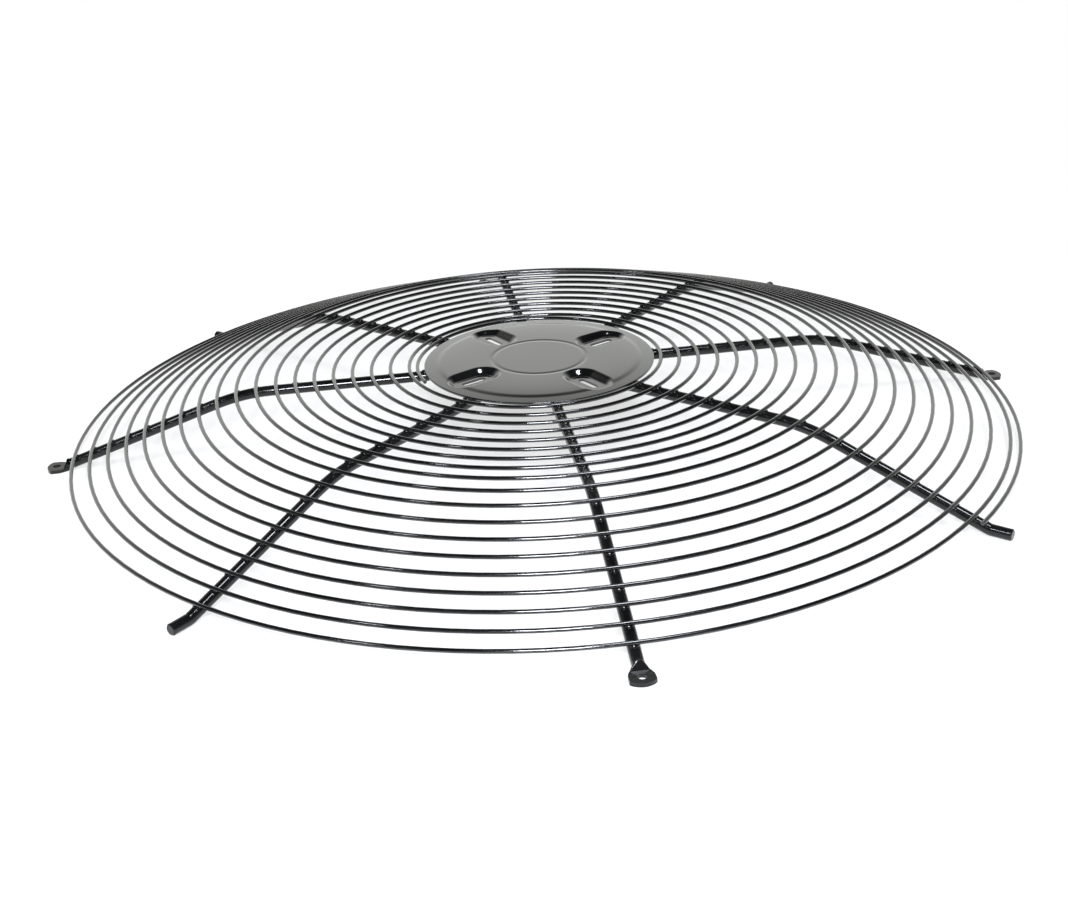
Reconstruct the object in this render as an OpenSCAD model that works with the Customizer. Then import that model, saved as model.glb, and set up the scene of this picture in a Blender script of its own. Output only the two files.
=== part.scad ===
// Domed condenser-fan guard: eight radial spokes, one spiral wire welded on top of them,
// and a stamped hub plate that closes the middle and carries the motor studs.
// The four spokes that end in a drilled ear lie along X and Y. The four plain ones lie between.
// The guard stands on its eight feet at Z = 0, with the dome towards +Z.

/* [Dome] */
// Diameter of the circle through the four ear holes
hole_circle_d = 650; // [600:1:720]
// Height that each spoke falls from the flat middle to its foot
dish_h = 38; // [28:0.5:44]
// Angle of the sloping part of each spoke, in degrees
slope = 18; // [15:0.5:24]
// Bend radius at the edge of the flat middle
bend_r = 120; // [60:5:150]
// Bend radius at the foot
foot_bend_r = 6; // [4:0.5:8]

/* [Spokes] */
// Diameter of the spoke rod
rod_d = 7; // [6:0.1:8]
// Length of each spoke under the edge of the hub plate
hub_lap = 13.5; // [8:0.5:20]
// Length of a plain foot past its bend
plain_foot_l = 13; // [6:0.5:20]
// Chamfer round the cut ends of the rods
end_chamfer = 0.7; // [0.2:0.1:1.5]

/* [Ears] */
// Distance from the corner of the foot bend to the ear hole
ear_reach = 9.5; // [9.2:0.1:14]
// Length of the pad inside its hole, up to the shoulder of the round rod
pad_in_l = 7.2; // [6:0.1:7.5]
// Length of the pad outside its hole
pad_out_l = 6; // [4.5:0.1:9]
// Width of the pad
pad_w = 13.8; // [11:0.1:18]
// Thickness of the pad
pad_t = 2.4; // [1.6:0.1:3.5]
// Length of the wings that the press squeezes out beside the round rod
wing_l = 1.2; // [0.8:0.1:1.3]
// Width of the pad where its wings start
pad_neck_w = 6.8; // [6:0.1:8]
// Length over which the pad widens
flare_l = 8; // [6:0.1:9]
// Radius of the rounded outer edge of the pad
pad_end_r = 9.5; // [8:0.5:20]
// Length over which the press forms the shoulder
shoulder_l = 1.6; // [0.8:0.1:2.5]
// Diameter of the ear hole
ear_hole_d = 5; // [3.5:0.1:6.5]

/* [Spiral wire] */
// Diameter of the spiral wire
wire_d = 2.6; // [2:0.1:4]
// Spacing of the turns, measured along the spokes
pitch = 12.7; // [9:0.1:18]
// Depth that one piece sinks into the next when it is welded
weld_sink = 0.25; // [0.1:0.05:0.5]
// Distance from the foot bend in to the outermost turn
rim_setback = 4; // [3:0.1:12]
// Distance from the edge of the hub plate out to the innermost turn
hub_gap = 4.5; // [4:0.1:12]
// Length of wire left past the outermost weld
rim_tail_l = 6; // [2:0.5:12]
// Length of wire left past the innermost weld
hub_tail_l = 22.5; // [4:0.5:30]

/* [Hub plate] */
// Diameter of the hub plate
plate_d = 155; // [150:1:175]
// Thickness of the plate's sheet
plate_t = 1.5; // [1:0.1:2.5]
// Width of the flange, from the rim to the middle of the step
flange_w = 9.5; // [8:0.5:11]
// Height of the raised panel above the flange
panel_h = 1.5; // [0.8:0.1:2.5]
// Width of the step round the panel
step_w = 4; // [2:0.5:6]
// Gap between the pressed ring and the pockets
ring_gap = 0.5; // [0.4:0.1:4]
// Width of the pressed ring
ring_w = 4; // [2:0.5:6]
// Depth of the pressed ring
ring_depth = 0.9; // [0.4:0.1:1.2]

/* [Motor pockets] */
// Angle from an ear spoke to the next pocket
pocket_turn = 28; // [22:0.5:29]
// Gap between a pocket's lip and the rim
pocket_rim_gap = 4.5; // [3.5:0.5:8]
// Distance between the end centres of a pocket
pocket_run = 15; // [12:0.5:16]
// Width of a pocket at its lip
pocket_w = 24; // [20:0.5:25]
// Width of a pocket's flat floor
floor_w = 13; // [10:0.5:16]
// Depth of a pocket below the panel
pocket_depth = 3.6; // [2.5:0.1:5]
// Width of the stud slot in a pocket's floor
slot_w = 4.6; // [4:0.1:7]
// Length of the stud slot, end to end
slot_l = 18; // [10:0.5:20]

/* [Hidden] */

black_paint = [0.06, 0.06, 0.065];
spoke_step = 45;
ear_step = 90;
overlap = 0.5;
// Where two runs of rod or wire join, one is a hair thinner and runs on inside the other.
joint_step = 0.04;
joint_lap = 0.3;
round_fn = 64;
hull_fn = 32;
sweep_fn = 180;
lip_steps = 6;
ease_steps = 6;
flare_steps = 6;
stadium_steps = 10;

// Angle of an arc that has this length along its middle.
function arc_angle(length, radius) = length / radius * 180 / PI;

// Each spoke's axis: flat, a bend down, the slope, a bend back to level, then the foot.
// The round rods clear the base by half a joint step, so the ears' pads alone lie on it.
foot_z = (rod_d + joint_step) / 2;
mid_z = foot_z + dish_h;
foot_r = hole_circle_d / 2 - ear_reach;
edge_r = foot_r - dish_h / tan(slope);
bend_half = bend_r * tan(slope / 2);
foot_half = foot_bend_r * tan(slope / 2);
bend_in_r = edge_r - bend_half;
bend_out_r = bend_in_r + bend_r * sin(slope);
bend_out_z = mid_z - bend_r * (1 - cos(slope));
slope_l = dish_h / sin(slope) - bend_half - foot_half;
foot_in_r = foot_r + foot_half;
hub_r = plate_d / 2;
spoke_in_r = hub_r - hub_lap;

// Axis position a distance s along a spoke from the middle of the guard.
bend_l = bend_r * slope * PI / 180;
function bend_angle(s) = max(0, min(slope, (s - bend_in_r) / bend_r * 180 / PI));
function past_bend(s) = max(0, s - bend_in_r - bend_l);
function axis_r(s) =
    min(s, bend_in_r) + bend_r * sin(bend_angle(s)) + past_bend(s) * cos(slope);
function axis_z(s) =
    mid_z - bend_r * (1 - cos(bend_angle(s))) - past_bend(s) * sin(slope);

// The wire lies on the spokes, so its centre stands off each spoke's axis.
wire_lift = rod_d / 2 + wire_d / 2 - weld_sink;
function wire_r(s) = axis_r(s) + wire_lift * sin(bend_angle(s));
function wire_z(s) = axis_z(s) + wire_lift * cos(bend_angle(s));
rim_s = bend_in_r + bend_l + (foot_r - rim_setback - bend_out_r) / cos(slope);
hub_s = hub_r + hub_gap;
half_turns = round((rim_s - hub_s) / (pitch / 2));
last_s = rim_s - half_turns * pitch / 2;
rim_tail = arc_angle(rim_tail_l, wire_r(rim_s));
hub_tail = arc_angle(hub_tail_l, wire_r(last_s));
wire_start = -spoke_step - rim_tail;

// Heights and radii of the hub plate.
flange_z = mid_z + rod_d / 2 - weld_sink + plate_t;
panel_z = flange_z + panel_h;
panel_r = hub_r - flange_w;
pocket_out_r = hub_r - pocket_rim_gap - pocket_w / 2;
pocket_in_r = pocket_out_r - pocket_run;
ring_r = pocket_in_r - pocket_w / 2 - ring_gap - ring_w / 2;

// A smooth rise from 0 to 1 as t goes from 0 to 1.
function ease(t) = (1 - cos(180 * max(0, min(1, t)))) / 2;
function sheet_z(r) =
    panel_z
    - panel_h * ease((r - panel_r) / step_w + 1 / 2)
    - ring_depth * (1 - ease(abs(r - ring_r) / (ring_w / 2)));
sheet_rs = concat(
    [0],
    [for (i = [-ease_steps : ease_steps]) ring_r + ring_w / 2 * i / ease_steps],
    [for (i = [0 : ease_steps]) panel_r + step_w * (i / ease_steps - 1 / 2)],
    [hub_r]
);

// Straight length of rod along +X.
module rod(length) {
    rotate([0, 90, 0])
        cylinder(d = rod_d, h = length, $fn = round_fn);
}

// Last length of rod along +X, which ends in a chamfered cut.
module cut_rod(length) {
    rotate([0, 90, 0])
        rotate_extrude($fn = round_fn)
            polygon([
                [0, 0],
                [rod_d / 2, 0],
                [rod_d / 2, length - end_chamfer],
                [rod_d / 2 - end_chamfer, length],
                [0, length],
            ]);
}

// Bend of the rod in the XZ plane, which runs on inside the straight lengths at both ends.
module rod_bend(radius, from_angle) {
    lap = arc_angle(joint_lap, radius);
    rotate([90, 0, 0])
        rotate_extrude(angle = slope + 2 * lap, start = from_angle - lap, $fn = sweep_fn)
            translate([radius, 0])
                circle(d = rod_d - joint_step, $fn = round_fn);
}

// Rod from under the hub plate to the end of the foot bend.
module spoke_rod() {
    translate([bend_in_r, 0, mid_z])
        mirror([1, 0, 0])
            cut_rod(bend_in_r - spoke_in_r);
    translate([bend_in_r, 0, mid_z - bend_r])
        rod_bend(bend_r, 90 - slope);
    translate([bend_out_r, 0, bend_out_z])
        rotate([0, slope, 0])
            rod(slope_l);
    translate([foot_in_r, 0, foot_z + foot_bend_r])
        rod_bend(foot_bend_r, 270 - slope);
}

module plain_spoke() {
    color(black_paint) {
        spoke_rod();
        translate([foot_in_r, 0, foot_z])
            cut_rod(plain_foot_l - foot_half);
    }
}

// Half the pad's width at a distance along it from where its wings start.
function pad_half_w(along) =
    (pad_neck_w + (pad_w - pad_neck_w) * sin(90 * min(1, along / flare_l))) / 2;

// Outline of the flattened pad, with its hole at the origin and the rod on the -X side.
module pad_outline() {
    start = -pad_in_l - wing_l;
    flare = [for (i = [0 : flare_steps]) flare_l * i / flare_steps];
    intersection() {
        translate([pad_out_l - pad_end_r, 0])
            circle(r = pad_end_r, $fn = sweep_fn);
        polygon(concat(
            [for (along = flare) [start + along, -pad_half_w(along)]],
            [[pad_out_l, -pad_w / 2], [pad_out_l, pad_w / 2]],
            [for (i = [flare_steps : -1 : 0]) [start + flare[i], pad_half_w(flare[i])]]
        ));
    }
}

// Press-formed shoulder from the round rod down to the pad, with the rod's end at the origin.
// Both of its ends are a hair smaller than the rod and the pad that they lie in.
module shoulder() {
    form_w = 2 * pad_half_w(wing_l + shoulder_l) - joint_step;
    hull() {
        translate([-overlap / 2, 0, foot_z])
            rotate([0, 90, 0])
                cylinder(d = rod_d - joint_step, h = overlap / 2, $fn = hull_fn);
        translate([shoulder_l, -form_w / 2, joint_step / 2])
            cube([overlap, form_w, pad_t - joint_step]);
    }
}

module ear_spoke() {
    shoulder_r = hole_circle_d / 2 - pad_in_l;
    color(black_paint)
        difference() {
            union() {
                spoke_rod();
                translate([foot_in_r, 0, foot_z])
                    rod(shoulder_r - foot_in_r);
                translate([shoulder_r, 0, 0])
                    shoulder();
                translate([hole_circle_d / 2, 0, 0])
                    linear_extrude(pad_t)
                        pad_outline();
            }
            translate([hole_circle_d / 2, 0, -overlap])
                cylinder(d = ear_hole_d, h = pad_t + 2 * overlap, $fn = round_fn);
        }
}

// Half a turn of wire from distance s_a to s_b along the spokes. Its centre is moved sideways and
// its plane tipped, so that it starts and ends square to the same line as its neighbours. On one
// side of the guard each half-turn is a hair thinner, and runs on inside the next at both ends.
module half_turn(s_a, s_b, side, sweep = 180) {
    span = wire_r(s_a) + wire_r(s_b);
    rise = wire_z(s_b) - wire_z(s_a);
    tip = atan(rise / span);
    lap = side > 0 ? 0 : arc_angle(joint_lap, span / 2);
    thin = side > 0 ? 0 : joint_step;
    translate([side * (wire_r(s_a) - wire_r(s_b)) / 2, 0, (wire_z(s_a) + wire_z(s_b)) / 2])
        rotate([0, side * tip, 0])
            rotate_extrude(angle = sweep + 2 * lap, start = 90 - side * 90 - lap, $fn = sweep_fn)
                translate([span / 2 / cos(tip), 0])
                    circle(d = wire_d - thin, $fn = hull_fn);
}

// One continuous wire: a level turn at the rim, the spiral, and a level turn round the hub.
module spiral_wire() {
    color(black_paint)
        rotate([0, 0, wire_start]) {
            half_turn(rim_s, rim_s, 1);
            for (i = [1 : half_turns]) {
                half_turn(
                    rim_s - (i - 1) * pitch / 2,
                    rim_s - i * pitch / 2,
                    i % 2 == 0 ? 1 : -1
                );
            }
            side = half_turns % 2 == 0 ? 1 : -1;
            half_turn(last_s, last_s, -side);
            half_turn(last_s, last_s, side, spoke_step + rim_tail + hub_tail);
        }
}

// Cross-section of the sheet from its top, lowered by from_top, down to its underside.
module sheet_section(from_top, thickness) {
    polygon(concat(
        [for (r = sheet_rs) [r, sheet_z(r) - from_top]],
        [for (i = [len(sheet_rs) - 1 : -1 : 0])
            [sheet_rs[i], sheet_z(sheet_rs[i]) - from_top - thickness]]
    ));
}

// Points of a long rounded outline between the pocket's end centres.
function stadium(radius, z) = concat(
    [for (i = [0 : stadium_steps])
        let (a = -90 + 180 * i / stadium_steps)
        [pocket_out_r + radius * cos(a), radius * sin(a), z]],
    [for (i = [0 : stadium_steps])
        let (a = 90 + 180 * i / stadium_steps)
        [pocket_in_r + radius * cos(a), radius * sin(a), z]]
);

// Solid that has the pocket's soft lip, sloping wall and flat floor, lowered by drop.
module pocket_form(drop) {
    lip_r = pocket_w / 2;
    floor_r = floor_w / 2;
    rings = concat(
        [[lip_r, panel_z + plate_t]],
        [for (i = [0 : lip_steps])
            let (t = i / lip_steps)
            [lip_r + (floor_r - lip_r) * t, panel_z - drop - pocket_depth * ease(t)]]
    );
    n = 2 * (stadium_steps + 1);
    m = len(rings);
    points = [for (ring = rings) each stadium(ring[0], ring[1])];
    faces = concat(
        [[for (k = [n - 1 : -1 : 0]) k]],
        [for (j = [0 : m - 2], k = [0 : n - 1])
            [j * n + k, j * n + (k + 1) % n, (j + 1) * n + (k + 1) % n, (j + 1) * n + k]],
        [[for (k = [0 : n - 1]) (m - 1) * n + k]]
    );
    polyhedron(points, faces);
}

module at_pockets() {
    for (k = [0 : 3])
        rotate([0, 0, pocket_turn + ear_step * k])
            children();
}

module stud_slot() {
    mid = (pocket_in_r + pocket_out_r) / 2;
    half = (slot_l - slot_w) / 2;
    translate([mid, 0, panel_z - pocket_depth - plate_t - overlap])
        linear_extrude(plate_t + 2 * overlap) {
            square([2 * half, slot_w], center = true);
            for (x = [-half, half])
                translate([x, 0])
                    circle(d = slot_w, $fn = hull_fn);
        }
}

module hub_plate() {
    color(black_paint)
        difference() {
            union() {
                rotate_extrude($fn = sweep_fn)
                    sheet_section(0, plate_t);
                intersection() {
                    at_pockets()
                        pocket_form(plate_t);
                    rotate_extrude($fn = sweep_fn)
                        sheet_section(plate_t / 2, 2 * pocket_depth + plate_t);
                }
            }
            at_pockets()
                pocket_form(0);
            at_pockets()
                stud_slot();
        }
}

module ear_spoke_at(k) {
    rotate([0, 0, ear_step * k])
        ear_spoke();
}

module plain_spoke_at(k) {
    rotate([0, 0, spoke_step + ear_step * k])
        plain_spoke();
}

hub_plate();
spiral_wire();
ear_spoke_at(0);  // ear_spoke_right
ear_spoke_at(1);  // ear_spoke_back
ear_spoke_at(2);  // ear_spoke_left
ear_spoke_at(3);  // ear_spoke_front
plain_spoke_at(0);  // plain_spoke_back_right
plain_spoke_at(1);  // plain_spoke_back_left
plain_spoke_at(2);  // plain_spoke_front_left
plain_spoke_at(3);  // plain_spoke_front_right
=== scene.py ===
# %% [markdown]
# # A welded wire fan guard
#
# This guard keeps fingers out of a condenser fan. Eight steel rods run out from the middle and
# bend down at the rim, one long wire is wound over them in a spiral and welded at every crossing,
# and a stamped plate closes the middle. The whole weldment is then painted gloss black.
#
# The rods and the wire have their exact shape in the frame already, so they only need a finish.
# The plate is stamped sheet with soft curves, so it is pressed again here from a finer blank. The
# small puddles of weld and paint at the crossings are new pieces.

# %% Load the frame
import math

import bmesh
import bpy
from mathutils import Matrix, Vector


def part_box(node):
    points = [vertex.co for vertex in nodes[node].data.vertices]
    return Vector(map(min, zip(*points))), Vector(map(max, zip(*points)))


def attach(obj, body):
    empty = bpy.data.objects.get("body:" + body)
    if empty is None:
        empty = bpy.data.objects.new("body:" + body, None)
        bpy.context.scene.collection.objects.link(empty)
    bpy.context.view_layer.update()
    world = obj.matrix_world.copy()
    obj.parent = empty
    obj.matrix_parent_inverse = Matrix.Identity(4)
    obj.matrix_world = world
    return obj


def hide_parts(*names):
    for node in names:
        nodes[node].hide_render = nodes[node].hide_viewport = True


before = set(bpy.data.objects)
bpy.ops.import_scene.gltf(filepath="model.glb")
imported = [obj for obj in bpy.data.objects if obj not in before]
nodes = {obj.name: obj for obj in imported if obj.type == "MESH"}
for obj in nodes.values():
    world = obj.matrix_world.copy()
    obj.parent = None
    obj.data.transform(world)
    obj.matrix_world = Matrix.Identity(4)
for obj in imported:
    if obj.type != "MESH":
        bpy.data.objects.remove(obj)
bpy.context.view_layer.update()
print("frame nodes:", ", ".join(sorted(nodes)))

# %% [markdown]
# ## Measuring the frame
#
# Everything new is placed from what the frame already holds. The plate's box gives its radius and
# its top. The spokes lie every 45 degrees, starting along +X.

# %% Read the sizes that the new pieces need
SPOKE_NODES = [name for name in nodes if "spoke" in name]
SPOKE_STEP = math.radians(360 / len(SPOKE_NODES))
_, plate_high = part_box("hub_plate")
PLATE_R = plate_high.x
PANEL_Z = plate_high.z
print(f"{len(SPOKE_NODES)} spokes, plate radius {PLATE_R * 1000:.1f} mm,"
      f" top at {PANEL_Z * 1000:.2f} mm")


# %% Helpers that turn a bmesh into a piece
def make_piece(name, bm):
    """Turn a bmesh into a smooth-shaded object that sits at the origin."""
    mesh = bpy.data.meshes.new(name)
    bm.to_mesh(mesh)
    bm.free()
    mesh.shade_smooth()
    piece = bpy.data.objects.new(name, mesh)
    bpy.context.scene.collection.objects.link(piece)
    return piece


def apply_modifiers(piece):
    """Keep the shape that the modifiers give, and drop the modifiers."""
    depsgraph = bpy.context.evaluated_depsgraph_get()
    shaped = bpy.data.meshes.new_from_object(piece.evaluated_get(depsgraph))
    piece.modifiers.clear()
    piece.data = shaped


def triangle_count(piece):
    """Number of triangles in a piece's mesh."""
    piece.data.calc_loop_triangles()
    return len(piece.data.loop_triangles)


# %% [markdown]
# ## The hub plate
#
# The real plate is a disc of 1.5 mm sheet, pressed once between two dies. The press raises a panel
# inside a flange, sinks a thin stiffening ring, and draws four pockets that hold the motor's
# fixings below the surface. Sheet can't fold sharply, so every pressed edge is a soft curve, and
# when the tool opens the panel keeps a slight crown: most of its height is a gentle fall towards
# the rim, and only the last few tenths of a millimetre are a step.
#
# It could be built from separate rings and pockets, but then each soft lip would need a blend of
# its own where it crosses the step. Pressing a flat blank is closer to the real process: a line is
# spun into a disc of fine rings, and each of its points is moved down by the depth of the die.

# %% Sizes of the pressing, in metres and radians
SHEET_T = 0.0015
PANEL_R = 0.068
PANEL_H = 0.0015
STEP_H = 0.0003
STEP_W = 0.005
CROWN_START_R = 0.038
RING_R = 0.0315
RING_W = 0.005
RING_DEPTH = 0.0004
POCKET_COUNT = 4
POCKET_STEP = math.radians(360 / POCKET_COUNT)
POCKET_TURN = math.radians(28)
POCKET_IN_R = 0.046
POCKET_OUT_R = 0.061
POCKET_LIP_R = 0.0125
POCKET_FLOOR_R = 0.0066
POCKET_DEPTH = 0.0036
print(f"{POCKET_COUNT} pockets, {POCKET_DEPTH * 1000:.1f} mm deep, in {SHEET_T * 1000:.1f} mm sheet")


# %% Depth of the die at any place
def ease(t):
    """A smooth rise from 0 to 1 as t goes from 0 to 1."""
    return (1 - math.cos(math.pi * min(max(t, 0), 1))) / 2


def panel_drop(r):
    """How far the crown, the step and the ring bring the sheet down at radius r."""
    past_start = max(r - CROWN_START_R, 0) / (PLATE_R - CROWN_START_R)
    crown = (PANEL_H - STEP_H) * past_start ** 2
    step = STEP_H * ease((r - PANEL_R) / STEP_W + 0.5)
    ring = RING_DEPTH * (1 - ease(abs(r - RING_R) / (RING_W / 2)))
    return crown + step + ring


def pocket_drop(x, y):
    """How far the nearest pocket lies below the panel at x, y."""
    angle = (math.atan2(y, x) - POCKET_TURN + POCKET_STEP / 2) % POCKET_STEP - POCKET_STEP / 2
    r = math.hypot(x, y)
    along, aside = r * math.cos(angle), r * math.sin(angle)
    past_end = along - min(max(along, POCKET_IN_R), POCKET_OUT_R)
    from_middle = math.hypot(past_end, aside)
    return POCKET_DEPTH * ease((POCKET_LIP_R - from_middle) / (POCKET_LIP_R - POCKET_FLOOR_R))


# Difference in depth over which the panel and a pocket's wall pass into each other
SOFTNESS = 0.0010


def die_drop(x, y):
    """Depth of the whole die: the deeper of panel and pocket, with a soft change between them."""
    panel, pocket = panel_drop(math.hypot(x, y)), pocket_drop(x, y)
    share = min(max(0.5 + (pocket - panel) / (2 * SOFTNESS), 0), 1)
    rounding = SOFTNESS * share * (1 - share) * ease(pocket / SOFTNESS)
    return panel + (pocket - panel) * share + rounding


# %% Spin the blank and press it
BLANK_STEPS = 360
INNER_RINGS = 8
OUTER_RINGS = 64
# Points closer than this are one point
MERGE_DISTANCE = 1e-6


def turn_faces_up(bm):
    """Turn a sheet over if its faces look down."""
    if sum(face.normal.z for face in bm.faces) < 0:
        bmesh.ops.reverse_faces(bm, faces=bm.faces)


def pressed_sheet():
    """Top surface of the plate, as a disc of rings moved down by the die."""
    bm = bmesh.new()
    pressed_from = RING_R - RING_W
    radii = [pressed_from * i / INNER_RINGS for i in range(INNER_RINGS)]
    radii += [pressed_from + (PLATE_R - pressed_from) * i / OUTER_RINGS
              for i in range(OUTER_RINGS + 1)]
    line = [bm.verts.new((r, 0, 0)) for r in radii]
    edges = [bm.edges.new(pair) for pair in zip(line, line[1:])]
    bmesh.ops.spin(bm, geom=line + edges, cent=(0, 0, 0), axis=(0, 0, 1), angle=2 * math.pi,
                   steps=BLANK_STEPS, use_merge=True)
    bmesh.ops.remove_doubles(bm, verts=bm.verts, dist=MERGE_DISTANCE)
    for vert in bm.verts:
        vert.co.z = PANEL_Z - die_drop(vert.co.x, vert.co.y)
    bmesh.ops.recalc_face_normals(bm, faces=bm.faces)
    turn_faces_up(bm)
    return bm


# %% [markdown]
# ## The slots in the pockets
#
# Each pocket's floor has one long slot, which a motor stud passes through with room to slide. In
# the press they are punched after the drawing. The same order works here: the sheet gets its
# thickness first, and then four rounded bars cut through it.

# %% Sizes of the slots, and the punches that cut them
SLOT_W = 0.0046
SLOT_L = 0.018
SLOT_MIDDLE_R = (POCKET_IN_R + POCKET_OUT_R) / 2
PUNCH_H = 0.02
PUNCH_STEPS = 32
# A coordinate below this counts as zero
TINY = 1e-9


def slot_punches():
    """Four upright bars with round ends, one through each pocket's floor."""
    bm = bmesh.new()
    half = (SLOT_L - SLOT_W) / 2
    for k in range(POCKET_COUNT):
        ring = bmesh.ops.create_circle(bm, cap_ends=True, segments=PUNCH_STEPS,
                                       radius=SLOT_W / 2)["verts"]
        for vert in ring:
            vert.co.x += half if vert.co.x > TINY else -half
        base = next(face for face in bm.faces if face.verts[0] in ring)
        top = bmesh.ops.extrude_face_region(bm, geom=[base])["geom"]
        raised = [part for part in top if isinstance(part, bmesh.types.BMVert)]
        bmesh.ops.translate(bm, verts=raised, vec=(0, 0, PUNCH_H))
        bar = ring + raised
        bmesh.ops.translate(bm, verts=bar, vec=(SLOT_MIDDLE_R, 0, PANEL_Z - PUNCH_H / 2))
        turn = Matrix.Rotation(POCKET_TURN + POCKET_STEP * k, 3, "Z")
        bmesh.ops.rotate(bm, verts=bar, cent=(0, 0, 0), matrix=turn)
    bmesh.ops.recalc_face_normals(bm, faces=bm.faces)
    return make_piece("slot_punches", bm)


# %% Give the sheet its thickness, round its rim and punch the slots
RIM_ROUND = 0.0004
RIM_SEGMENTS = 3
RIM_ANGLE = math.radians(60)
SHARP_ANGLE = math.radians(50)


def make_hub_plate():
    """The finished plate."""
    plate = make_piece("stamped_plate", pressed_sheet())
    wall = plate.modifiers.new("thickness", "SOLIDIFY")
    wall.thickness = SHEET_T
    wall.offset = -1
    rim = plate.modifiers.new("rim", "BEVEL")
    rim.width = RIM_ROUND
    rim.segments = RIM_SEGMENTS
    rim.limit_method = "ANGLE"
    rim.angle_limit = RIM_ANGLE
    punches = slot_punches()
    punch = plate.modifiers.new("slots", "BOOLEAN")
    punch.object = punches
    punch.solver = "EXACT"
    apply_modifiers(plate)
    bpy.data.objects.remove(punches)
    plate.data.shade_smooth()
    plate.data.set_sharp_from_angle(angle=SHARP_ANGLE)
    return plate


hub_plate = make_hub_plate()
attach(hub_plate, "root")
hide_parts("hub_plate")
print("hub plate:", triangle_count(hub_plate), "triangles")

# %% [markdown]
# ## Finding the welds
#
# The wire is welded to a spoke wherever it crosses one, about 160 times. The places needn't be
# worked out again from the spiral's formula. A knife along a spoke cuts the wire in a small circle
# at each crossing, and the middle of that circle is the middle of the wire. So the coil's own mesh
# is copied, cut along each pair of opposite spokes, and the cut points are gathered by distance.

# %% Cut the coil along the spokes
# Gap along a spoke that parts one crossing from the next. The points of one cut lie less than
# 0.2 mm apart, and the two closest crossings leave 2.7 mm between them.
NEXT_TURN = 0.002


def box_middle(points):
    """Middle of the box round some points."""
    low = Vector([min(p[i] for p in points) for i in range(3)])
    high = Vector([max(p[i] for p in points) for i in range(3)])
    return (low + high) / 2


def wire_crossings():
    """For each spoke's angle, the wire's middle at each crossing, from the middle outwards."""
    found = {}
    half_circle = len(SPOKE_NODES) // 2
    for k in range(half_circle):
        angle = SPOKE_STEP * k
        along = Vector((math.cos(angle), math.sin(angle), 0))
        across = Vector((-math.sin(angle), math.cos(angle), 0))
        bm = bmesh.new()
        bm.from_mesh(nodes["spiral_wire"].data)
        bmesh.ops.remove_doubles(bm, verts=bm.verts, dist=MERGE_DISTANCE)
        everything = bm.verts[:] + bm.edges[:] + bm.faces[:]
        cut = bmesh.ops.bisect_plane(bm, geom=everything, plane_co=(0, 0, 0),
                                     plane_no=across)["geom_cut"]
        points = [part.co.copy() for part in cut if isinstance(part, bmesh.types.BMVert)]
        for side in (1, -1):
            ordered = sorted((p for p in points if side * p.dot(along) > 0),
                             key=lambda p: side * p.dot(along))
            groups = [[ordered[0]]]
            for point in ordered[1:]:
                if (point - groups[-1][-1]).dot(along) * side > NEXT_TURN:
                    groups.append([])
                groups[-1].append(point)
            middles = [box_middle(group) for group in groups]
            found[angle + (0 if side > 0 else math.pi)] = middles
        bm.free()
    return found


crossings = wire_crossings()
print("crossings:", sum(len(middles) for middles in crossings.values()))

# %% [markdown]
# ## The welds
#
# A resistance weld squeezes the wire a little way into the rod and leaves a small puddle in the
# corners, and the paint that runs in afterwards makes it rounder. A puddle is a ball pressed flat:
# longer along the wire than along the rod, and low. There are many, so each has only 80 faces.
# Its size changes a little from one to the next, as real welds do.

# %% Sizes of the puddles, in metres, from the middle of each outwards
WIRE_R = 0.0013
PUDDLE_ALONG_WIRE = 0.0025
PUDDLE_ALONG_ROD = 0.0021
PUDDLE_HEIGHT = 0.0010
PUDDLE_SUBDIVISIONS = 2
# Share by which a puddle can be larger or smaller. The size moves on by the golden angle, in
# radians, from one puddle to the next, so that neighbours differ and no short pattern repeats.
SIZE_CHANGE = 0.14
GOLDEN_ANGLE = 2.399963


def upward(rod_way, wire_way):
    """The direction square to the rod and the wire that points up."""
    up = rod_way.cross(wire_way).normalized()
    return up if up.z > 0 else -up


def add_puddle(bm, place, rod_way, wire_way, scale):
    """One flattened ball at place, turned to the rod and the wire."""
    up = upward(rod_way, wire_way)
    turn = Matrix((rod_way, up.cross(rod_way), up)).transposed().to_4x4()
    stretch = Matrix.Diagonal((PUDDLE_ALONG_ROD, PUDDLE_ALONG_WIRE, PUDDLE_HEIGHT, 1))
    whole = Matrix.Translation(place) @ turn @ stretch @ Matrix.Scale(scale, 4)
    bmesh.ops.create_icosphere(bm, subdivisions=PUDDLE_SUBDIVISIONS, radius=1, matrix=whole)


def rod_direction(middles, i):
    """Direction of the spoke at crossing i, from its neighbours."""
    before, after = middles[max(i - 1, 0)], middles[min(i + 1, len(middles) - 1)]
    return (after - before).normalized()


# %% Put a puddle at each crossing
def make_welds():
    """All the puddles between the wire and the spokes, as one piece."""
    bm = bmesh.new()
    count = 0
    for angle, middles in sorted(crossings.items()):
        wire_way = Vector((-math.sin(angle), math.cos(angle), 0))
        for i, middle in enumerate(middles):
            rod_way = rod_direction(middles, i)
            foot = middle - upward(rod_way, wire_way) * WIRE_R
            scale = 1 + SIZE_CHANGE * math.sin(count * GOLDEN_ANGLE)
            add_puddle(bm, foot, rod_way, wire_way, scale)
            count += 1
    return make_piece("wire_welds", bm)


wire_welds = make_welds()
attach(wire_welds, "root")
print("welds:", triangle_count(wire_welds), "triangles")

# %% [markdown]
# ## The welds under the plate
#
# The plate lies on the inner ends of the spokes. Where each spoke comes out from under the rim,
# paint and weld fill the corner between the rod's top and the sheet's edge.

# %% Put a puddle where each spoke leaves the plate
ROD_TOP_Z = PANEL_Z - PANEL_H - SHEET_T
PLATE_PUDDLE_SCALE = 1.15


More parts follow.
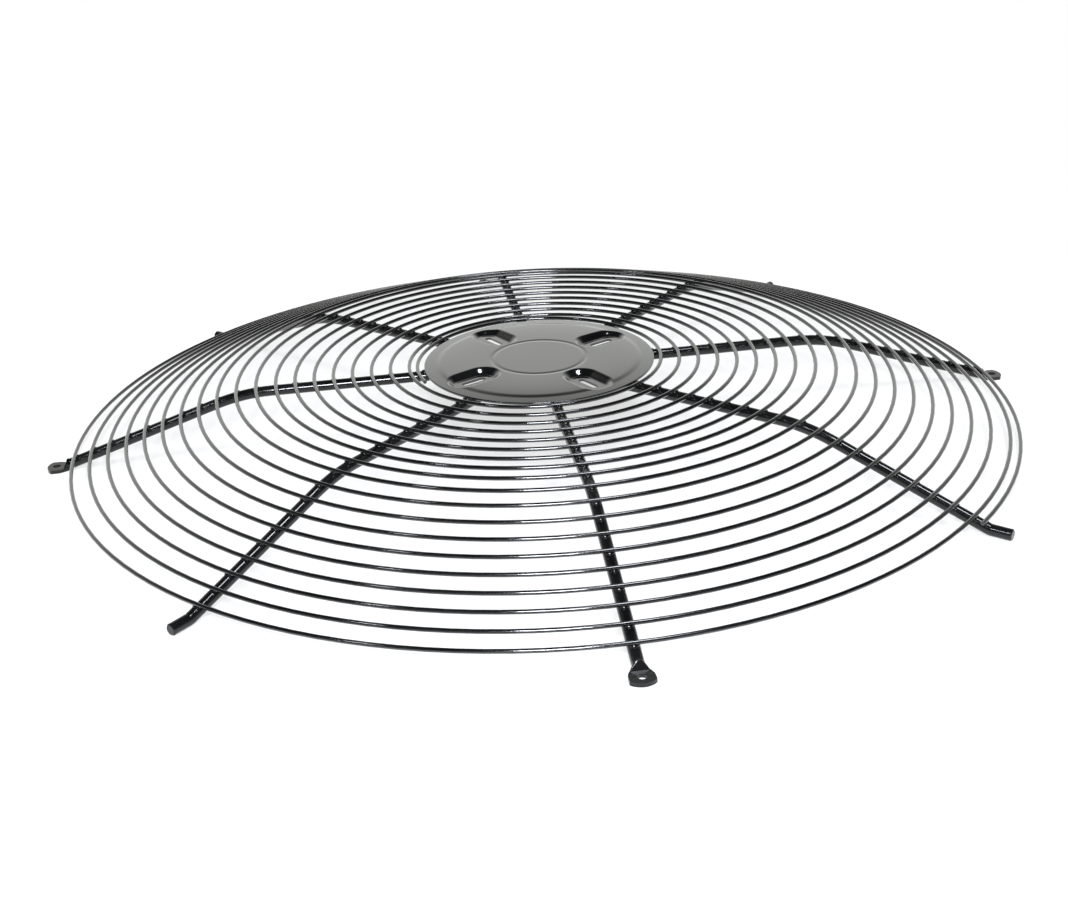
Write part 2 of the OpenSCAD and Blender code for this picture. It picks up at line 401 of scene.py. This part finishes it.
def make_plate_welds():
    """The eight puddles at the plate's rim, as one piece."""
    bm = bmesh.new()
    for k in range(len(SPOKE_NODES)):
        angle = SPOKE_STEP * k
        rod_way = Vector((math.cos(angle), math.sin(angle), 0))
        wire_way = Vector((-math.sin(angle), math.cos(angle), 0))
        place = rod_way * PLATE_R + Vector((0, 0, ROD_TOP_Z))
        add_puddle(bm, place, rod_way, wire_way, PLATE_PUDDLE_SCALE)
    return make_piece("plate_welds", bm)


plate_welds = make_plate_welds()
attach(plate_welds, "root")
print("plate welds:", triangle_count(plate_welds), "triangles")

# %% [markdown]
# ## The paint
#
# The guard is dipped or sprayed in gloss black and baked. Such paint isn't perfectly even: it has
# a fine orange-peel ripple, it is a little thicker and glossier in some places than in others, and
# a thin film of dust makes a few patches duller. One function mixes it, and each kind of piece
# gets its own grain, because a thin wire shows a finer ripple than a wide plate.

# %% Mix a gloss black paint
BLACK = (0.002, 0.002, 0.0021, 1)
DUSTY_BLACK = (0.006, 0.006, 0.0062, 1)
PAINT_IOR = 1.5
COAT_ROUGHNESS = 0.06
PATCH_SIZE = 0.03
PATCH_DETAIL = 3
RIPPLE_DETAIL = 2
# Most of a noise lies between these two
NOISE_LOW = 0.3
NOISE_HIGH = 0.7


def link_noise(tree, place, size, detail):
    """Noise on the piece's own coordinates, with features about this size in metres."""
    noise = tree.nodes.new("ShaderNodeTexNoise")
    noise.inputs["Scale"].default_value = 1 / size
    noise.inputs["Detail"].default_value = detail
    tree.links.new(place.outputs["Object"], noise.inputs["Vector"])
    return noise


def link_range(tree, value, low, high):
    """The middle of a noise, spread between two values."""
    spread = tree.nodes.new("ShaderNodeMapRange")
    spread.inputs["From Min"].default_value = NOISE_LOW
    spread.inputs["From Max"].default_value = NOISE_HIGH
    spread.inputs["To Min"].default_value = low
    spread.inputs["To Max"].default_value = high
    tree.links.new(value, spread.inputs["Value"])
    return spread.outputs["Result"]


def gloss_black(name, ripple_size, ripple_height, dull, smooth, coat, shine):
    """Baked gloss paint with an orange-peel ripple and faint dusty patches."""
    paint = bpy.data.materials.new(name)
    paint.use_nodes = True
    tree = paint.node_tree
    shader = tree.nodes["Principled BSDF"]
    shader.inputs["IOR"].default_value = PAINT_IOR
    shader.inputs["Specular IOR Level"].default_value = shine
    shader.inputs["Coat Weight"].default_value = coat
    shader.inputs["Coat Roughness"].default_value = COAT_ROUGHNESS
    shader.inputs["Coat IOR"].default_value = PAINT_IOR
    place = tree.nodes.new("ShaderNodeTexCoord")

    patches = link_noise(tree, place, PATCH_SIZE, PATCH_DETAIL)
    colour = tree.nodes.new("ShaderNodeMix")
    colour.data_type = "RGBA"
    colour.inputs["A"].default_value = BLACK
    colour.inputs["B"].default_value = DUSTY_BLACK
    tree.links.new(link_range(tree, patches.outputs["Fac"], 0, 1), colour.inputs["Factor"])
    tree.links.new(colour.outputs["Result"], shader.inputs["Base Color"])
    roughness = link_range(tree, patches.outputs["Fac"], smooth, dull)
    tree.links.new(roughness, shader.inputs["Roughness"])

    ripple = link_noise(tree, place, ripple_size, RIPPLE_DETAIL)
    bump = tree.nodes.new("ShaderNodeBump")
    bump.inputs["Strength"].default_value = 1.0
    bump.inputs["Distance"].default_value = ripple_height
    tree.links.new(ripple.outputs["Fac"], bump.inputs["Height"])
    tree.links.new(bump.outputs["Normal"], shader.inputs["Normal"])
    tree.links.new(bump.outputs["Normal"], shader.inputs["Coat Normal"])
    return paint


# %% Paint each kind of piece
wire_paint = gloss_black("wire_paint", ripple_size=0.0020, ripple_height=0.00002,
                         dull=0.20, smooth=0.12, coat=1.0, shine=0.5)
rod_paint = gloss_black("rod_paint", ripple_size=0.0035, ripple_height=0.00006,
                        dull=0.17, smooth=0.09, coat=0.1, shine=0.4)
plate_paint = gloss_black("plate_paint", ripple_size=0.0030, ripple_height=0.00001,
                          dull=0.17, smooth=0.11, coat=1.0, shine=0.5)


def give_finish(piece, paint):
    """Make this paint the only finish of a piece."""
    piece.data.materials.clear()
    piece.data.materials.append(paint)


finishes = {
    rod_paint: [nodes[name] for name in SPOKE_NODES] + [wire_welds, plate_welds],
    wire_paint: [nodes["spiral_wire"]],
    plate_paint: [nodes["hub_plate"], hub_plate],
}
for paint, pieces in finishes.items():
    for piece in pieces:
        give_finish(piece, paint)
    print(paint.name, "on", len(pieces), "pieces")

# %% [markdown]
# ## The stage
#
# A plain pale floor carries the guard's shadow. It is a wide flat disc, so that its edge stays out
# of sight. Real white paper in a bright studio comes out almost as white as the wall behind it, and
# a soft shadow stays on it. So the camera and the gloss see a share of plain white mixed into the
# paper, while the light that the paper gives back to the guard stays that of matt paper. Far from
# the guard the share grows until paper and wall are one white. The back of the paper is clear, so
# that the guard can be looked at from underneath.

# %% Helpers that join shader nodes
PLAIN_WHITE = (1, 1, 1, 1)


def link_fade(tree, value, start, end, before, after):
    """A soft change from one value to another while this value goes from start to end."""
    fade = tree.nodes.new("ShaderNodeMapRange")
    fade.interpolation_type = "SMOOTHSTEP"
    fade.inputs["From Min"].default_value = start
    fade.inputs["From Max"].default_value = end
    fade.inputs["To Min"].default_value = before
    fade.inputs["To Max"].default_value = after
    tree.links.new(value, fade.inputs["Value"])
    return fade.outputs["Result"]


def link_math(tree, operation, first, second):
    """One operation on two values."""
    result = tree.nodes.new("ShaderNodeMath")
    result.operation = operation
    tree.links.new(first, result.inputs[0])
    tree.links.new(second, result.inputs[1])
    return result.outputs["Value"]


def link_mix(tree, share, first, second):
    """The first shader where share is 0, the second where it is 1, and a mix between."""
    mix = tree.nodes.new("ShaderNodeMixShader")
    tree.links.new(share, mix.inputs["Fac"])
    tree.links.new(first, mix.inputs[1])
    tree.links.new(second, mix.inputs[2])
    return mix.outputs["Shader"]


def any_ray(tree, first_kind, *more_kinds):
    """1 for a ray of any of these kinds, and 0 for all others."""
    path = tree.nodes.new("ShaderNodeLightPath")
    total = path.outputs[first_kind]
    for kind in more_kinds:
        total = link_math(tree, "MAXIMUM", total, path.outputs[kind])
    return total


# %% Lay the floor
FLOOR_R = 12
FLOOR_STEPS = 96
FLOOR_COLOUR = (0.92, 0.92, 0.92, 1)
FLOOR_ROUGHNESS = 0.9
FLOOR_SHINE = 0.1
# Share of plain white near the guard, and the distances over which it grows to all of it
WHITE_SHARE = 0.60
FADE_START = 0.28
FADE_END = 0.62


def floor_paper():
    """Matt white paper that shows in part as plain white, and is clear from below."""
    matt = bpy.data.materials.new("floor_paper")
    matt.use_nodes = True
    tree = matt.node_tree
    shader = tree.nodes["Principled BSDF"]
    shader.inputs["Base Color"].default_value = FLOOR_COLOUR
    shader.inputs["Roughness"].default_value = FLOOR_ROUGHNESS
    shader.inputs["Specular IOR Level"].default_value = FLOOR_SHINE
    white = tree.nodes.new("ShaderNodeEmission")
    white.inputs["Color"].default_value = PLAIN_WHITE
    white.inputs["Strength"].default_value = 1.0
    clear = tree.nodes.new("ShaderNodeBsdfTransparent")
    sides = tree.nodes.new("ShaderNodeNewGeometry")
    place = tree.nodes.new("ShaderNodeTexCoord")
    distance = tree.nodes.new("ShaderNodeVectorMath")
    distance.operation = "LENGTH"
    tree.links.new(place.outputs["Object"], distance.inputs[0])
    whiter = link_fade(tree, distance.outputs["Value"], FADE_START, FADE_END, WHITE_SHARE, 1.0)
    seen = any_ray(tree, "Is Camera Ray", "Is Glossy Ray", "Is Transmission Ray")
    share = link_math(tree, "MULTIPLY", seen, whiter)
    paper = link_mix(tree, share, shader.outputs["BSDF"], white.outputs["Emission"])
    surface = link_mix(tree, sides.outputs["Backfacing"], paper, clear.outputs["BSDF"])
    tree.links.new(surface, tree.nodes["Material Output"].inputs["Surface"])
    return matt


def make_floor():
    """A wide pale disc at the height of the guard's feet."""
    bm = bmesh.new()
    bmesh.ops.create_circle(bm, cap_ends=True, segments=FLOOR_STEPS, radius=FLOOR_R)
    turn_faces_up(bm)
    floor = make_piece("floor", bm)
    give_finish(floor, floor_paper())


make_floor()
print("floor: a disc of", FLOOR_R, "m radius")

# %% [markdown]
# ## The light
#
# Gloss black shows little of its own colour: what it shows is the room. A studio for such a piece
# has a pale wall behind it, a dark ceiling, and a dimmer room on the side where one stands. A face
# that lies flat then mirrors the pale wall and looks grey, and the near face of a rod or a wire
# mirrors the dim side and looks black.
#
# The world does this. The camera sees plain white. Matt surfaces get an even, soft fill. Glossy
# ones see the white wall, the dark ceiling and the dim side.

# %% Make the studio room
FILL = 0.70
WALL_COLOUR = (0.985, 1.0, 0.96, 1)
WALL_WHITE = 1.0
CEILING_DARK = 0.02
DIM_SIDE = 0.05
# Upward part of a direction where the wall begins to darken, and where the ceiling is reached
WALL_TOP = 0.31
CEILING_START = 0.76
# Part of a direction towards the back wall, up to which the room is dim, and from which it is white
DIM_UNTIL = -0.1
WHITE_FROM = 0.9


def backdrop(tree, colour, strength=1.0):
    """Light of one colour from all round."""
    light = tree.nodes.new("ShaderNodeBackground")
    light.inputs["Color"].default_value = colour
    light.inputs["Strength"].default_value = strength
    return light


def studio_room():
    """A world that is white to the camera, even to matt surfaces and a room to glossy ones."""
    world = bpy.data.worlds.new("studio_room")
    world.use_nodes = True
    bpy.context.scene.world = world
    tree = world.node_tree
    tree.nodes.clear()
    out = tree.nodes.new("ShaderNodeOutputWorld")
    direction = tree.nodes.new("ShaderNodeTexCoord")
    parts = tree.nodes.new("ShaderNodeSeparateXYZ")
    tree.links.new(direction.outputs["Generated"], parts.inputs["Vector"])
    walls = link_fade(tree, parts.outputs["Z"], WALL_TOP, CEILING_START, WALL_WHITE, CEILING_DARK)
    side = link_fade(tree, parts.outputs["Y"], DIM_UNTIL, WHITE_FROM, DIM_SIDE, 1.0)

    fill = backdrop(tree, PLAIN_WHITE, FILL)
    mirrored = backdrop(tree, WALL_COLOUR)
    tree.links.new(link_math(tree, "MULTIPLY", walls, side), mirrored.inputs["Strength"])
    seen = backdrop(tree, PLAIN_WHITE)

    in_gloss = link_mix(tree, any_ray(tree, "Is Glossy Ray"),
                        fill.outputs["Background"], mirrored.outputs["Background"])
    in_view = link_mix(tree, any_ray(tree, "Is Camera Ray", "Is Transmission Ray"),
                       in_gloss, seen.outputs["Background"])
    tree.links.new(in_view, out.inputs["Surface"])
    return world


room = studio_room()
print("world:", room.name)

# %% [markdown]
# ## The camera
#
# The guard is seen from a little above, with its front ear towards the viewer and slightly to the
# right. The camera is placed by its distance, height and the direction that it faces, and it
# leans a little, so that the guard seems to dip to the right.

# %% Place the camera
CAMERA_AZIMUTH = math.radians(-7.58)
CAMERA_DISTANCE = 0.9131
CAMERA_HEIGHT = 0.3948
CAMERA_HEADING = math.radians(-7.178)
CAMERA_TILT = math.radians(24.50)
CAMERA_LEAN = math.radians(-2.81)
LENS_MM = 48.70
SENSOR_MM = 36


def place_camera():
    """The camera, put at its distance and height and turned to its heading, tilt and lean."""
    data = bpy.data.cameras.new("camera")
    data.lens = LENS_MM
    data.sensor_fit = "HORIZONTAL"
    data.sensor_width = SENSOR_MM
    camera = bpy.data.objects.new("camera", data)
    bpy.context.scene.collection.objects.link(camera)
    place = Vector((math.sin(CAMERA_AZIMUTH), -math.cos(CAMERA_AZIMUTH), 0)) * CAMERA_DISTANCE
    place.z = CAMERA_HEIGHT
    facing = (Matrix.Rotation(CAMERA_HEADING, 4, "Z")
              @ Matrix.Rotation(math.pi / 2 - CAMERA_TILT, 4, "X")
              @ Matrix.Rotation(CAMERA_LEAN, 4, "Z"))
    camera.matrix_world = Matrix.Translation(place) @ facing
    bpy.context.scene.camera = camera
    return camera


camera = place_camera()
print("camera at", [round(c, 4) for c in camera.location])

# %% [markdown]
# ## The lamps
#
# Lamps show in gloss paint as small bright spots. A round wire mirrors one only where it runs
# square to the lines towards lamp and eye, so a small softbox just above the viewer draws a bright
# column across the front and back turns and leaves the rest of each turn dark. It also puts a small
# spot on each weld. One more hangs overhead. It draws the streaks along the rods that run aslant,
# and a bright spot in the walls of the pockets. One at the left draws the streak on the left rod.

# %% Hang the lamps
COOL_WHITE = (0.88, 0.93, 1.0)


def add_softbox(name, place, size, power):
    """A square area lamp at place that faces the middle of the guard."""
    data = bpy.data.lights.new(name, "AREA")
    data.shape = "SQUARE"
    data.size = size
    data.energy = power
    data.color = COOL_WHITE
    lamp = bpy.data.objects.new(name, data)
    bpy.context.scene.collection.objects.link(lamp)
    lamp.location = place
    lamp.rotation_euler = (-Vector(place)).to_track_quat("-Z", "Y").to_euler()
    print(name, "at", [round(c, 3) for c in place])


def front_place(azimuth, distance, height):
    """A point in front of the guard: this angle to the right of straight ahead, and this far out."""
    turn = math.radians(azimuth)
    return (distance * math.sin(turn), -distance * math.cos(turn), height)


eye_side = front_place(azimuth=-6.5, distance=1.0, height=0.62)
add_softbox("eye_softbox", place=eye_side, size=0.27, power=15)
add_softbox("overhead_softbox", place=(0.25, -0.35, 1.35), size=0.30, power=8)
add_softbox("left_softbox", place=(-1.10, -0.80, 1.30), size=0.16, power=3.5)

# %% [markdown]
# ## Finishing
#
# The colours stay as they are written, without a film look.

# %% Set the view transform and finish
bpy.context.scene.view_settings.view_transform = "Standard"
